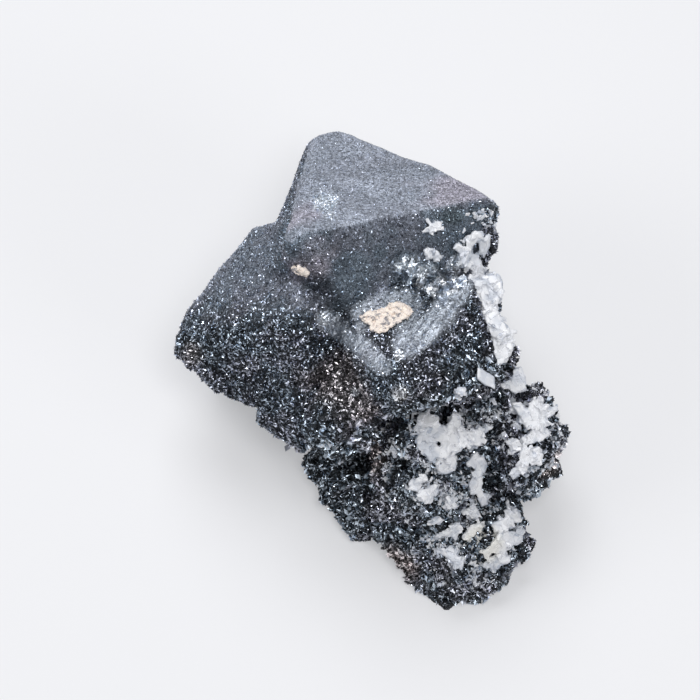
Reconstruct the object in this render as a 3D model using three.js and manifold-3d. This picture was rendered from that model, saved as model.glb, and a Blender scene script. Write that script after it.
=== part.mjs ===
// A hematite pseudomorph after magnetite: a hand-size group of intergrown octahedra whose surface has
// turned to sugary micro-hematite, with white crystals of a second mineral on its right and lower sides.
// Millimetres. The group lies on its broken back, which is cut flat there, and +Z is up.

import * as THREE from 'three';
import { ConvexGeometry } from 'three/addons/geometries/ConvexGeometry.js';
import { mergeVertices } from 'three/addons/utils/BufferGeometryUtils.js';
import Module from 'manifold-3d';

const wasm = await Module();
wasm.setup();

// Driving dimensions
// Every place below is in the specimen's own frame: x to the right across its face, y up along its
// length, z out of its face. The origin is level with the near corner of the tall crystal.
const LIE_BACK = 24;            // degrees that the face's normal leans back from straight up
const BASE_LEVEL = -28.2;       // height of the flat cut on the back, before the group is set down
const GAP = 0.3;                // clearance between the hematite and each crystal grown on it
const TALL_CORNER = 19.4;       // centre to corner of the tall octahedron
const LEFT_CORNER = 15.3;       // centre to corner of the left octahedron
const FRONT_CORNER = 13;        // centre to corner of the front octahedron
const EDGE_WEAR = 0.6;          // how deep the edges of the large crystals are rounded off
const FRONT_EDGE_WEAR = 0.3;    // the same for the front crystal, which is crisper
const PLATE_BEVEL = 0.16;       // width of the small faces round the edges of a white crystal
const PLATE_TILT = 0.14;        // the most that a white crystal rises along 1 mm against its ground
const PLATE_ROOT = 1.2;         // how far a white crystal reaches below its ground before it is trimmed
const CRUST_THICKNESS = 0.45;   // the cream crust on the front crystal
const STUD_COUNT = 84;          // small octahedra that roughen the coarse sides
const STUD_CORNER = [1, 2.2];   // smallest and largest centre to corner of a small octahedron
const STUD_DEPTH = 0.4;         // how far its centre lies below the surface, as a share of that
const LUMP_BREAKS = 18;         // flat breaks round a lump of matrix
const LUMP_UNEVENNESS = 0.25;   // how far the direction of a break strays from even spreading
const LUMP_SHALLOWEST = 0.82;   // the nearest break of a lump, as a share of its radius

const RAD = Math.PI / 180;
const TOLERANCE = 1e-6;
const FAR = 60;                 // a start outside the group for a straight way in

// Seeded random numbers, so that the group is the same each time
function randomSource(seed) {
  let state = seed;
  return () => {
    state = (state + 0x6d2b79f5) | 0;
    let mixed = Math.imul(state ^ (state >>> 15), 1 | state);
    mixed = (mixed + Math.imul(mixed ^ (mixed >>> 7), 61 | mixed)) ^ mixed;
    return ((mixed ^ (mixed >>> 14)) >>> 0) / 4294967296;
  };
}

function between(random, low, high) {
  return low + (high - low) * random();
}

function randomDirection(random) {
  const height = between(random, -1, 1);
  const around = between(random, 0, 2 * Math.PI);
  const flat = Math.sqrt(1 - height * height);
  return new THREE.Vector3(flat * Math.cos(around), flat * Math.sin(around), height);
}

// A block is a convex body held as planes: outward normal n and distance d from its centre
function turned([x, y, z]) {
  return new THREE.Euler(x * RAD, y * RAD, z * RAD, 'XYZ');
}

function corners(block, grow) {
  const planes = block.planes.map(({ n, d }) => ({ n, d: d + grow }));
  const points = [];
  for (let i = 0; i < planes.length; i += 1) {
    for (let j = i + 1; j < planes.length; j += 1) {
      const along = new THREE.Vector3().crossVectors(planes[i].n, planes[j].n);
      if (along.lengthSq() < TOLERANCE) continue;
      for (let k = j + 1; k < planes.length; k += 1) {
        const volume = along.dot(planes[k].n);
        if (Math.abs(volume) < TOLERANCE) continue;
        const point = along.clone().multiplyScalar(planes[k].d)
          .addScaledVector(new THREE.Vector3().crossVectors(planes[j].n, planes[k].n), planes[i].d)
          .addScaledVector(new THREE.Vector3().crossVectors(planes[k].n, planes[i].n), planes[j].d)
          .divideScalar(volume);
        if (planes.every(({ n, d }) => n.dot(point) < d + TOLERANCE)) points.push(point);
      }
    }
  }
  return points.map((point) => point.add(block.at));
}

function toSolid(geometry) {
  const bare = geometry.clone();
  bare.deleteAttribute('normal');
  bare.deleteAttribute('uv');
  const merged = mergeVertices(bare, 1e-4);
  const vertProperties = Float32Array.from(merged.attributes.position.array);
  const triVerts = Uint32Array.from(merged.index.array);
  return new wasm.Manifold(new wasm.Mesh({ numProp: 3, vertProperties, triVerts }));
}

function toGeometry(solid) {
  const mesh = solid.getMesh();
  const geometry = new THREE.BufferGeometry();
  geometry.setAttribute('position', new THREE.BufferAttribute(mesh.vertProperties, 3));
  geometry.setIndex(new THREE.BufferAttribute(mesh.triVerts, 1));
  return geometry;
}

function blockSolid(block, grow = 0) {
  return toSolid(new ConvexGeometry(corners(block, grow)));
}

function joined(solids) {
  return solids.reduce((whole, solid) => whole.add(solid));
}

// The largest connected piece of a mesh, which drops crumbs that a cut leaves behind
function largestPiece(geometry) {
  const index = geometry.index.array;
  const parent = Array.from({ length: geometry.attributes.position.count }, (_, i) => i);
  const root = (i) => {
    let at = i;
    while (parent[at] !== at) {
      parent[at] = parent[parent[at]];
      at = parent[at];
    }
    return at;
  };
  for (let i = 0; i < index.length; i += 3) {
    parent[root(index[i + 1])] = root(index[i]);
    parent[root(index[i + 2])] = root(index[i]);
  }
  const pieces = new Map();
  for (let i = 0; i < index.length; i += 3) {
    const key = root(index[i]);
    if (!pieces.has(key)) pieces.set(key, []);
    pieces.get(key).push(index[i], index[i + 1], index[i + 2]);
  }
  const kept = geometry.clone();
  kept.setIndex([...pieces.values()].reduce((most, piece) => (piece.length > most.length ? piece : most)));
  return kept;
}

// Octahedra: the eight faces always meet at the same angles, and only their distances differ
const SIGNS = [-1, 1];
const NEIGHBOUR_COSINE = 0.3;   // two faces share an edge when the cosine between them is above this
const OCTAHEDRON = SIGNS.flatMap((x) => SIGNS.flatMap((y) => SIGNS.map((z) => ({
  key: [x, y, z].map((s) => (s > 0 ? '+' : '-')).join(''),
  n: new THREE.Vector3(x, y, z).normalize(),
}))));
const TIPS = ['x', 'y', 'z'].flatMap((axis) => SIGNS.map((s) => ({
  key: (s > 0 ? '+' : '-') + axis,
  n: new THREE.Vector3().setComponent('xyz'.indexOf(axis), s),
})));

// corner: centre to corner of the perfect shape. faces and tips: distances of single faces and of the
// flats that cut single corners. breaks: broken flats, in the specimen's own axes. wear: depth of the
// flats along the edges, none at 0.
function octahedron({ at, turn, corner, faces = {}, tips = {}, breaks = [], blunt = 0.6, wear = 0 }) {
  const euler = turned(turn);
  const sides = OCTAHEDRON.map(({ key, n }) => ({ n, d: faces[key] ?? corner / Math.sqrt(3) }));
  const flats = blunt > 0 ? TIPS.map(({ key, n }) => ({ n, d: tips[key] ?? corner - blunt })) : [];
  const edges = [];
  if (wear > 0) {
    for (let i = 0; i < sides.length; i += 1) {
      for (let j = i + 1; j < sides.length; j += 1) {
        if (sides[i].n.dot(sides[j].n) < NEIGHBOUR_COSINE) continue;
        const sum = sides[i].n.clone().add(sides[j].n);
        edges.push({ n: sum.clone().normalize(), d: (sides[i].d + sides[j].d) / sum.length() - wear });
      }
    }
  }
  const planes = [...sides, ...flats, ...edges].map(({ n, d }) => ({ n: n.clone().applyEuler(euler), d }));
  breaks.forEach(({ n, d }) => planes.push({ n: new THREE.Vector3(...n).normalize(), d }));
  return { at: new THREE.Vector3(...at), planes };
}

// A lump of matrix: flat breaks in evenly spread directions at uneven distances
function lump({ at, radius, seed }) {
  const random = randomSource(seed);
  const golden = Math.PI * (3 - Math.sqrt(5));
  const planes = Array.from({ length: LUMP_BREAKS }, (_, i) => {
    const height = 1 - (2 * i + 1) / LUMP_BREAKS;
    const flat = Math.sqrt(1 - height * height);
    const n = new THREE.Vector3(flat * Math.cos(golden * i), flat * Math.sin(golden * i), height);
    n.addScaledVector(randomDirection(random), LUMP_UNEVENNESS).normalize();
    return { n, d: radius * between(random, LUMP_SHALLOWEST, 1) };
  });
  return { at: new THREE.Vector3(...at), planes };
}

function brick({ at, turn, size }) {
  const euler = turned(turn);
  const planes = TIPS.map(({ n }, i) => ({
    n: n.clone().applyEuler(euler),
    d: size[Math.floor(i / 2)] / 2,
  }));
  return { at: new THREE.Vector3(...at), planes };
}

// The hematite: large crystals, then the smaller ones below them, then the broken matrix at the back
const tallCrystal = octahedron({
  at: [1.9, 9.5, -17], turn: [-108.3, -18.2, -119.3], corner: TALL_CORNER, wear: EDGE_WEAR,
  faces: { '-++': 12.3 },
  tips: { '+z': 17.3, '+y': 18.1, '+x': 18.6, '-x': 17.2, '-y': 17 },
  breaks: [
    { n: [0.85, 0.45, 0.27], d: 17.5 },
    { n: [0.5, 0.86, 0], d: 14 },
    { n: [-0.86, 0.5, 0], d: 13.4 },
  ],
});
const leftCrystal = octahedron({
  at: [-5.7, 2.7, -14.8], turn: [-1.5, 1.6, 6.8], corner: LEFT_CORNER, wear: EDGE_WEAR,
  faces: { '-+-': 11.1, '--+': 9.2, '---': 10.7 },
  tips: { '+y': 12.3, '-y': 14.3, '-z': 11, '+z': 13.6 },
  breaks: [{ n: [-0.95, 0.32, 0], d: 13.1 }],
});
const frontCrystal = octahedron({
  at: [7.75, -2.45, -7.65], turn: [7.7, -11.1, 61.5], corner: FRONT_CORNER, wear: FRONT_EDGE_WEAR,
  tips: { '-y': 8.6, '+x': 12.6 },
  breaks: [{ n: [0.2, -0.98, 0], d: 3.8 }],
});
const lowerCrystals = [
  octahedron({ at: [-0.6, -7.6, -8], turn: [18, 24, 12], corner: 6.4, blunt: 1 }),
  octahedron({ at: [8.8, -10.6, -8.6], turn: [25, -20, 10], corner: 6.4, blunt: 1.2 }),
  octahedron({ at: [9.4, -14, -14.2], turn: [12, -16, 22], corner: 10.6, tips: { '+z': 8.6 } }),
  octahedron({
    at: [12.4, -22.3, -18.6], turn: [6, 8, -7], corner: 10.1, faces: { '--+': 6.2 },
    tips: { '+z': 7, '-y': 8.9 },
  }),
  octahedron({ at: [2.7, -15, -21], turn: [-4, 6, -15], corner: 9, tips: { '+z': 5.2, '-y': 7.8 } }),
  octahedron({ at: [13.6, -4.6, -14], turn: [20, 25, 40], corner: 8.6, tips: { '+z': 7.2 }, blunt: 1.4 }),
  octahedron({ at: [18.4, -10.9, -15.6], turn: [30, 10, 20], corner: 9, tips: { '+z': 6.6 }, blunt: 2 }),
  octahedron({ at: [16.3, -20.6, -18], turn: [-20, 14, 50], corner: 6.2, blunt: 1.4 }),
  octahedron({ at: [14.2, 12.4, -13.8], turn: [10, 40, 15], corner: 4.2, blunt: 0.8 }),
  octahedron({ at: [13.2, 3.4, -13], turn: [15, -20, 35], corner: 5.8, blunt: 1 }),
];
const matrix = [
  lump({ at: [3, 0, -24], radius: 12.5, seed: 3 }),
  lump({ at: [10, -13, -20.5], radius: 9.5, seed: 8 }),
  lump({ at: [-6, 2, -27], radius: 9, seed: 5 }),
  lump({ at: [8, 3, -25], radius: 9.5, seed: 11 }),
  lump({ at: [20.9, -7.8, -14.6], radius: 3.3, seed: 6 }),
  lump({ at: [20.1, -13.1, -15.6], radius: 3.7, seed: 9 }),
  lump({ at: [14.6, -25.2, -19], radius: 4.4, seed: 2 }),
  lump({ at: [-15, -2.5, -14.6], radius: 2.3, seed: 4 }),
];

// The flat step on the front crystal that carries the cream crust
const crustStep = brick({ at: [4, 3.6, -4.8], turn: [-33, -6, 15], size: [7.4, 5.8, 2] });

// Where the front crystal is etched: pits beside its crust and a furrow towards its upper right
const pits = [
  brick({ at: [1.6, 2.2, -1.2], turn: [20, -35, 35], size: [3.4, 2.2, 2.4] }),
  brick({ at: [4.9, 0.2, 1.2], turn: [0, 40, -28], size: [1.7, 4.4, 2.2] }),
  brick({ at: [11, 7.2, -4.6], turn: [0, 45, -52], size: [1.6, 4.6, 1.6] }),
];
// The gaps between the lower crystals, and the notch below the left crystal
const hollows = [
  brick({ at: [16.6, -15.6, -9.6], turn: [0, 45, 12], size: [3.4, 6, 3.4] }),
  brick({ at: [1.2, -15.2, -13.6], turn: [8, 45, 24], size: [3.6, 7.4, 3.6] }),
  brick({ at: [-13, -7, -14.5], turn: [0, 0, -14], size: [5, 2.4, 9] }),
];

const floorCut = new THREE.BoxGeometry(2 * FAR, 2 * FAR, FAR);
floorCut.translate(0, 0, BASE_LEVEL - FAR / 2);
floorCut.rotateX(-LIE_BACK * RAD);

function hematiteSolid(blocks, grow) {
  const carved = [...pits, ...hollows].map((block) => blockSolid(block, -grow));
  return joined(blocks.map((block) => blockSolid(block, grow))).subtract(joined(carved));
}

const crystals = [
  tallCrystal, leftCrystal, frontCrystal, crustStep, ...lowerCrystals, ...matrix,
];
const bareHematite = hematiteSolid(crystals, 0);

// A place on the hematite: the first point met on a straight way in
const probe = new THREE.Raycaster();
function placeOn(mesh, from, direction) {
  probe.set(from, direction);
  return probe.intersectObject(mesh)[0];
}

// Small octahedra sit in the surface of every side but two: the smooth upper faces, above a line that
// falls to the right, and the face of the front crystal
const HEART = new THREE.Vector3(5, -4, -17);
const SMOOTH_LINE = { height: 3.5, fall: 0.25, deepest: -24 };
const FRONT_FACE = new THREE.Box3(new THREE.Vector3(-2, -8, -7), new THREE.Vector3(14, FAR, FAR));

function isBare({ x, y, z }) {
  const smooth = y > SMOOTH_LINE.height - SMOOTH_LINE.fall * x && z > SMOOTH_LINE.deepest;
  return smooth || FRONT_FACE.containsPoint(new THREE.Vector3(x, y, z));
}

function studs() {
  const random = randomSource(41);
  const host = new THREE.Mesh(toGeometry(bareHematite), new THREE.MeshBasicMaterial());
  host.geometry.computeVertexNormals();
  const found = [];
  while (found.length < STUD_COUNT) {
    const out = randomDirection(random);
    const start = out.clone().multiplyScalar(FAR).add(HEART);
    const hit = placeOn(host, start, out.clone().negate());
    const turn = [0, 1, 2].map(() => between(random, -45, 45));
    const corner = between(random, ...STUD_CORNER);
    if (isBare(hit.point)) continue;
    const at = hit.point.clone().addScaledVector(hit.face.normal, -STUD_DEPTH * corner).toArray();
    found.push(octahedron({ at, turn, corner, blunt: 0 }));
  }
  return found;
}

const allBlocks = [...crystals, ...studs()];
const hematite = hematiteSolid(allBlocks, 0).subtract(toSolid(floorCut));
const clearance = hematiteSolid(allBlocks, GAP);
const cluster = new THREE.Mesh(toGeometry(hematite), new THREE.MeshBasicMaterial());

// The hematite's face straight below a place on the specimen, if there is any
const INWARD = new THREE.Vector3(0, 0, -1);
function seat([x, y]) {
  return placeOn(cluster, new THREE.Vector3(x, y, FAR), INWARD)?.point;
}

// The plane that fits the hematite below an outline: a point and how it rises along x and y
const STEEPEST = 0.7;
const DEEPEST_FOOT = 3;
function ground(outline) {
  const met = outline.map(seat).filter((foot) => foot !== undefined);
  const top = Math.max(...met.map((foot) => foot.z));
  const feet = met.filter((foot) => foot.z > top - DEEPEST_FOOT);
  const middle = new THREE.Vector3();
  feet.forEach((foot) => middle.addScaledVector(foot, 1 / feet.length));
  const normal = new THREE.Vector3();
  feet.forEach((foot, i) => {
    const next = feet[(i + 1) % feet.length];
    normal.add(foot.clone().sub(middle).cross(next.clone().sub(middle)));
  });
  const rise = ['x', 'y'].map((axis) => (
    THREE.MathUtils.clamp(-normal[axis] / normal.z || 0, -STEEPEST, STEEPEST)));
  return { middle, rise };
}

// Crystals of the second mineral are plates that follow the hematite below them. Each is given by its
// outline seen from the front, its thickness above the clearance, and any hole through it. One that
// stands out past the edge of the hematite gives its level and a deeper root.
function edgeOfGround(outline, level) {
  return { middle: new THREE.Vector3(...outline[0], level), rise: [0, 0] };
}

const drawn = (outline) => new THREE.Shape(outline.map(([x, y]) => new THREE.Vector2(x, y)));
const tiltSource = randomSource(17);
function plate({ outline, thick, hole, tilt = PLATE_TILT, root = PLATE_ROOT, level }) {
  const slab = new THREE.ExtrudeGeometry(drawn(outline), {
    depth: root + GAP + thick - PLATE_BEVEL,
    bevelThickness: PLATE_BEVEL,
    bevelSize: PLATE_BEVEL,
    bevelOffset: -PLATE_BEVEL,
    bevelSegments: 1,
  });
  const { middle, rise } = level === undefined ? ground(outline) : edgeOfGround(outline, level);
  const [alongX, alongY] = rise.map((slope) => slope + between(tiltSource, -tilt, tilt));
  const place = slab.attributes.position;
  for (let i = 0; i < place.count; i += 1) {
    const height = middle.z + alongX * (place.getX(i) - middle.x) + alongY * (place.getY(i) - middle.y);
    place.setZ(i, place.getZ(i) - root + height);
  }
  if (!hole) return toSolid(slab);
  const punch = new THREE.ExtrudeGeometry(drawn(hole), { depth: 2 * FAR, bevelEnabled: false });
  return toSolid(slab).subtract(toSolid(punch.translate(0, 0, -FAR)));
}

// One group of plates grown together, trimmed clear of the hematite
function grown(plates) {
  return largestPiece(toGeometry(joined(plates.map(plate)).subtract(clearance)));
}

const WHITE_GROUPS = {
  white_cluster_centre: [
    { thick: 1.2, outline: [
      [5.6, -7.6], [6.3, -7.2], [8.6, -6.9], [9.9, -7.6], [9.8, -8.2], [7.9, -9.6], [6.2, -8.3],
    ] },
    { thick: 1.4, outline: [
      [9.7, -8], [10.5, -8.7], [11.3, -10.1], [11.3, -11.2], [10.9, -12.2], [8.5, -11.8], [7.5, -11],
      [7.4, -10.2], [8.1, -9.2],
    ], hole: [[9.5, -10.3], [9.9, -10.2], [10.2, -10.6], [9.9, -10.8]] },
    { thick: 0.9, outline: [
      [5.7, -7.1], [6.7, -6.3], [7.9, -5.9], [8.8, -5.8], [8.9, -6.1], [8.6, -6.7], [7.4, -6.9],
      [6.3, -7.4],
    ] },
    { thick: 1.3, outline: [
      [10.8, -9.4], [11.2, -8.1], [11.7, -7], [12.3, -7.5], [12.7, -8.8], [13, -10.1], [12.5, -11.4],
      [11.2, -11.4],
    ] },
    { thick: 1.6, outline: [
      [12.4, -9.1], [14.1, -9], [15.3, -8.9], [15.1, -9.5], [14.6, -10.8], [13.6, -10.7],
      [12.3, -10.9],
    ] },
    { thick: 0.7, outline: [
      [9.3, -12], [10.9, -12], [11.8, -11.4], [12.1, -12.8], [11.6, -13.8], [10.1, -13.9],
    ] },
  ],
  white_shield_centre: [
    { thick: 1.2, outline: [
      [13.2, -12.9], [13.9, -11.9], [14.5, -11.5], [14.7, -12], [15.2, -12.2], [15.6, -13],
      [15.4, -13.9], [14.8, -14.5], [14.1, -14.6], [13.6, -13.8],
    ] },
    { thick: 0.9, outline: [
      [13.9, -14.3], [15, -14.2], [15.2, -15.1], [15.1, -16.4], [13.7, -16.6], [13.6, -15.1],
    ] },
    { thick: 0.8, outline: [
      [14.5, -16.1], [16, -16.6], [15.9, -17.8], [15.2, -18], [14.7, -17.3],
    ] },
  ],
  white_rhomb_right: [
    { thick: 1.1, outline: [
      [14.3, -2], [14.9, -2.2], [16.2, -3], [16.3, -4.4], [15.1, -3.9], [14.2, -3.3],
    ] },
  ],
  white_plates_shoulder: [
    { thick: 1.1, outline: [
      [17, -3.9], [18.5, -3.3], [18.7, -2.3], [19.7, -2], [20.1, -2.9], [20.2, -4.6], [18.6, -4.8],
      [17.6, -4.5],
    ] },
  ],
  white_cluster_lobe: [
    { thick: 1.2, outline: [
      [18.6, -6.4], [19.7, -6.5], [20.8, -6.9], [20.8, -5.8], [21.6, -5.6], [22.2, -6.2], [22.6, -8.7],
      [21.8, -9.3], [20.1, -9], [19.7, -7.9],
    ] },
    { thick: 0.9, outline: [
      [22.1, -6.3], [23.1, -6.8], [23.9, -6.4], [24, -6.9], [22.6, -8], [22.1, -7.7],
    ] },
    { thick: 1.0, outline: [
      [19.7, -10.1], [20.7, -9.3], [22.7, -9], [23.1, -9.5], [22.5, -10.1], [20.6, -10.8],
      [19.9, -10.8],
    ] },
  ],
  white_plates_lobe_low: [
    { thick: 0.9, outline: [
      [19.6, -11.4], [21.4, -11.1], [22, -11.4], [22.1, -13.4], [21.1, -13], [19.8, -13.1],
      [19.2, -12.2],
    ] },
    { thick: 0.9, outline: [
      [18.3, -14.3], [18.8, -13.6], [19.7, -12.9], [20.4, -13], [20.1, -13.8], [18.6, -14.8],
    ] },
  ],
  white_hexagon_lobe: [
    { thick: 0.9, outline: [
      [18, -10.7], [18.5, -10.3], [19, -10.8], [18.8, -11.4], [18.3, -11.7],
    ] },
  ],
  white_grain_right: [
    { thick: 0.8, outline: [
      [16, -5.7], [16.5, -5.6], [16.7, -6.2], [16.2, -6.3],
    ] },
  ],
  white_grain_below_tip: [
    { thick: 0.8, outline: [
      [11.5, -4.4], [12.1, -4], [12.8, -4.2], [13, -5], [12.1, -5.2],
    ] },
  ],
  white_cluster_bottom: [
    { thick: 1.2, outline: [
      [16.4, -19.9], [17.3, -19.7], [18.3, -19.1], [18.8, -19.7], [18.8, -20.3], [17.3, -21.3],
      [16.7, -21.1],
    ] },
    { thick: 1.2, outline: [
      [17.5, -21.2], [19.2, -20.8], [19.9, -20.7], [20.1, -21.9], [19.8, -22.5], [18.6, -22.8],
      [17.4, -22.2],
    ] },
    { thick: 1.3, outline: [
      [15.2, -23.2], [16.1, -22.6], [17.1, -21.2], [18, -22.4], [18.1, -23.8], [17.1, -25.4],
      [15.2, -24.9], [15.6, -24.3],
    ] },
    { thick: 0.9, outline: [
      [17.8, -18.6], [18.7, -18], [19.7, -18.9], [19.6, -19.8], [18.5, -19.9],
    ] },
  ],
  white_wedge_low: [
    { thick: 0.8, outline: [
      [13.4, -20.4], [15.5, -20], [14.9, -20.7], [14.2, -21.4], [13.5, -21.3],
    ] },
  ],
  white_blade_low: [
    { thick: 0.9, outline: [
      [9.7, -21.4], [10.6, -20.7], [12.2, -19.8], [13, -20.4], [12.8, -21], [11.9, -21.2],
      [10.7, -21.6],
    ] },
  ],
  white_patch_bottom: [
    { thick: 0.8, outline: [
      [10.5, -23.2], [11.3, -22.5], [12, -22.7], [12.4, -23.7], [13.3, -23.8], [13, -24.8],
      [12, -25.4], [11.8, -24.3],
    ] },
  ],
  white_flake_left: [
    { thick: 0.6, outline: [
      [8.8, -19], [10.9, -19.4], [10.2, -19.9], [9.3, -19.6],
    ] },
  ],
  white_spikes_left: [
    { thick: 0.7, outline: [
      [6.7, -15.2], [7.2, -14.5], [8.5, -14], [8.2, -14.9], [7.5, -15.5],
    ] },
  ],
  white_patch_left: [
    { thick: 0.7, outline: [
      [7.4, -16.8], [8, -15.9], [9.1, -15.5], [9.6, -16.1], [9.2, -17], [8.1, -17.1],
    ] },
  ],
  white_plate_middle: [
    { thick: 0.7, outline: [
      [10.8, -17.2], [11.6, -16.6], [12.3, -16.9], [11.9, -17.9], [11, -18.1],
    ] },
  ],
  white_plate_low: [
    { thick: 0.7, outline: [
      [13.1, -18.6], [14, -18.3], [14.8, -18.9], [13.9, -19.4],
    ] },
  ],
  white_plate_upper: [
    { thick: 0.6, outline: [
      [8, 13.3], [8.9, 14], [9.6, 14.6], [10.1, 14.4], [10, 13.6], [9.2, 13.2],
    ] },
  ],
  white_fork_slope: [
    { thick: 0.6, outline: [
      [8.5, 10.9], [8.6, 11.6], [9.2, 11.5], [9.6, 10.8], [10, 11.2], [10.3, 10.8], [10, 10],
      [9.4, 10.2],
    ] },
  ],
  white_ridge_right: [
    { thick: 0.9, outline: [
      [13.1, 11.3], [13.4, 13], [14.3, 13.4], [15, 13.4], [15.2, 12.6], [14, 12.1], [14, 11],
      [13.6, 10.4],
    ] },
    { thick: 0.8, outline: [
      [14.7, 12.5], [15.8, 13.2], [16, 13], [15.8, 11.7], [15.3, 10.5], [14.8, 11],
    ] },
    { thick: 0.7, outline: [
      [11.7, 11.5], [12.4, 12.2], [13.3, 11.6], [13.6, 10.5], [12.4, 11],
    ] },
    { thick: 1.0, outline: [
      [12.4, 10.8], [13.1, 11.3], [14.6, 11], [15.4, 8.9], [15.6, 7.6], [14.4, 7], [14, 8.7],
      [13.3, 9.9],
    ] },
    { thick: 1.1, level: -7.6, root: 4, outline: [
      [13.7, 8], [15.4, 7.8], [15.8, 5.7], [16.6, 4.6], [15.5, 3.2], [15, 4.6], [14.2, 6.4],
    ] },
    { thick: 1.2, level: -9.4, root: 4, outline: [
      [15.1, 8.4], [16.2, 8.6], [17, 8.4], [17.3, 7.6], [17.2, 6.6], [16.8, 5.5], [16.4, 4.9],
      [15.2, 5.5],
    ] },
    { thick: 1.3, level: -7.4, root: 5, outline: [
      [14.9, 5.3], [16.4, 4.6], [17.3, 3.3], [18.1, 2.1], [17, 0.9], [15.3, 1.7], [15.2, 3.3],
    ] },
    { thick: 1.5, level: -7.2, root: 6, outline: [
      [15.8, 1.9], [18, 2.4], [18.3, 1], [18.4, 0], [17.6, -1.1], [16.4, -2.1], [15.8, -1.7],
      [15.7, -0.4],
    ] },
    { thick: 0.8, level: -7, root: 3, outline: [
      [13.9, -1], [14.7, -0.6], [15.9, -0.1], [16.5, -1.3], [15.7, -1.9], [14.6, -1.8],
    ] },
  ],
};

const CREAM_PATCHES = {
  cream_crust: [{
    thick: CRUST_THICKNESS, tilt: 0, outline: [
      [0.9, 3.7], [2, 4.3], [3.5, 4.5], [4.4, 5.2], [5.6, 5.5], [6.4, 5.2], [7.1, 4.3], [6.4, 3.6],
      [5.6, 3.2], [4.9, 2.8], [4.3, 2], [3.3, 1.8], [2.4, 2.1], [2.2, 2.8], [1.4, 3.2],
    ],
  }],
  cream_speck: [{
    thick: CRUST_THICKNESS, tilt: 0, outline: [
      [-6.6, 9.2], [-5.9, 9.6], [-5.3, 9.1], [-4.7, 8.6], [-4.8, 8.2], [-5.6, 8.5],
    ],
  }],
};

const finish = {
  hematite: { color: 0x3b4046, roughness: 0.5, metalness: 0.7 },
  white: { color: 0xe3e4e8, roughness: 0.35, metalness: 0 },
  cream: { color: 0xdccdb9, roughness: 0.8, metalness: 0 },
};

function part(name, geometry, look) {
  const flat = geometry.toNonIndexed();
  flat.computeVertexNormals();
  const mesh = new THREE.Mesh(flat, new THREE.MeshStandardMaterial(finish[look]));
  mesh.name = name;
  return mesh;
}

const specimen = new THREE.Group();
specimen.add(part('hematite_cluster', largestPiece(cluster.geometry), 'hematite'));
Object.entries(WHITE_GROUPS).forEach(([name, plates]) => {
  specimen.add(part(name, grown(plates), 'white'));
});
Object.entries(CREAM_PATCHES).forEach(([name, plates]) => {
  specimen.add(part(name, grown(plates), 'cream'));
});

// The group lies on its cut back: the cut at z = 0, the box centred on the origin
specimen.rotation.x = LIE_BACK * RAD;
specimen.updateMatrixWorld(true);
const box = new THREE.Box3().setFromObject(specimen, true);
specimen.position.set(-(box.min.x + box.max.x) / 2, -(box.min.y + box.max.y) / 2, -box.min.z);

const hematitePseudomorph = new THREE.Group();
hematitePseudomorph.add(specimen);
export default hematitePseudomorph;
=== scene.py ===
# %% [markdown]
# # The surface of a hematite pseudomorph
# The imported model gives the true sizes: a group of intergrown octahedra of hematite that keeps the
# shape of the magnetite it replaced, with white crystals on its right and lower sides. What the packed
# solids don't have is the surface. On the real specimen every face is a felt of micro-crystals, fine on
# the upper faces and coarse and glittering below. This script keeps the solids' places and gives them
# that surface, then sets the floor, the light and the camera.

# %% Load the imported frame
import math

import bmesh
import bpy
import numpy as np
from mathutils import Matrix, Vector


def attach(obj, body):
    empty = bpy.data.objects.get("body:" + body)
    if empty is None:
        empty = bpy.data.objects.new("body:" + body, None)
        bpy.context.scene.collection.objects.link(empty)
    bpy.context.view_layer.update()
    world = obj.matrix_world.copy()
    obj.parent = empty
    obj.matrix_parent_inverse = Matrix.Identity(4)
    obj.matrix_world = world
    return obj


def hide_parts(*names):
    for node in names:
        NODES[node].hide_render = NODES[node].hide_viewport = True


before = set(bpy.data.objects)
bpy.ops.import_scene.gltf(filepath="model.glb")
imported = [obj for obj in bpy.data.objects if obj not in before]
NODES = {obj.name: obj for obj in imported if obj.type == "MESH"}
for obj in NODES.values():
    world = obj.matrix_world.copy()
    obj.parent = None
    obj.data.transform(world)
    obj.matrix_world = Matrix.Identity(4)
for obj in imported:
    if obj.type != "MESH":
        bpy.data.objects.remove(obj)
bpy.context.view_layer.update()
MM = 0.001


def in_mm(box):
    """The two corners of a box in millimetres, rounded for printing."""
    return [[round(float(part) / MM, 2) for part in corner] for corner in box]


print("packed nodes:", len(NODES))

# %% [markdown]
# ## The specimen's own axes
# The group lies on its back, which is cut flat, so its face leans. It is easier to say where a feature
# is along the face: x across it, y along its length and z out of it, in millimetres. Two small functions
# go from those axes to the frame's metres and back, and a third turns directions, for whole arrays at once.

# %% From the specimen's axes to the frame, and back
LEAN = math.radians(24)
SET_DOWN = np.array([-2.6169, -5.9096, 28.2])   # where the middle of the face lies in the frame
TO_FRAME = np.array([
    [1, 0, 0],
    [0, math.cos(LEAN), -math.sin(LEAN)],
    [0, math.sin(LEAN), math.cos(LEAN)],
])


def to_frame(points):
    """Millimetres along the specimen's axes to metres in the frame: turn by LEAN about x, then shift."""
    return (np.asarray(points, float) @ TO_FRAME.T + SET_DOWN) * MM


def to_specimen(points):
    """Metres in the frame to millimetres along the specimen's axes: the same steps undone."""
    return (np.asarray(points, float) / MM - SET_DOWN) @ TO_FRAME


def turn_to_specimen(directions):
    """Directions in the frame to directions along the specimen's axes: they turn and don't shift."""
    return np.asarray(directions, float) @ TO_FRAME


print("the face looks towards", np.round(to_frame([[0, 0, 1]]) - to_frame([[0, 0, 0]]), 5)[0] / MM)

# %% [markdown]
# ## Camera
# A long lens from a third of a metre keeps the crystal edges as parallel as they look in a photograph
# of a specimen. The camera looks straight at the face, so it stands in front of it and high up.

# %% Place the camera
REACH = 324    # millimetres from the middle of the face
LENS = 150
SENSOR = 36

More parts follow.
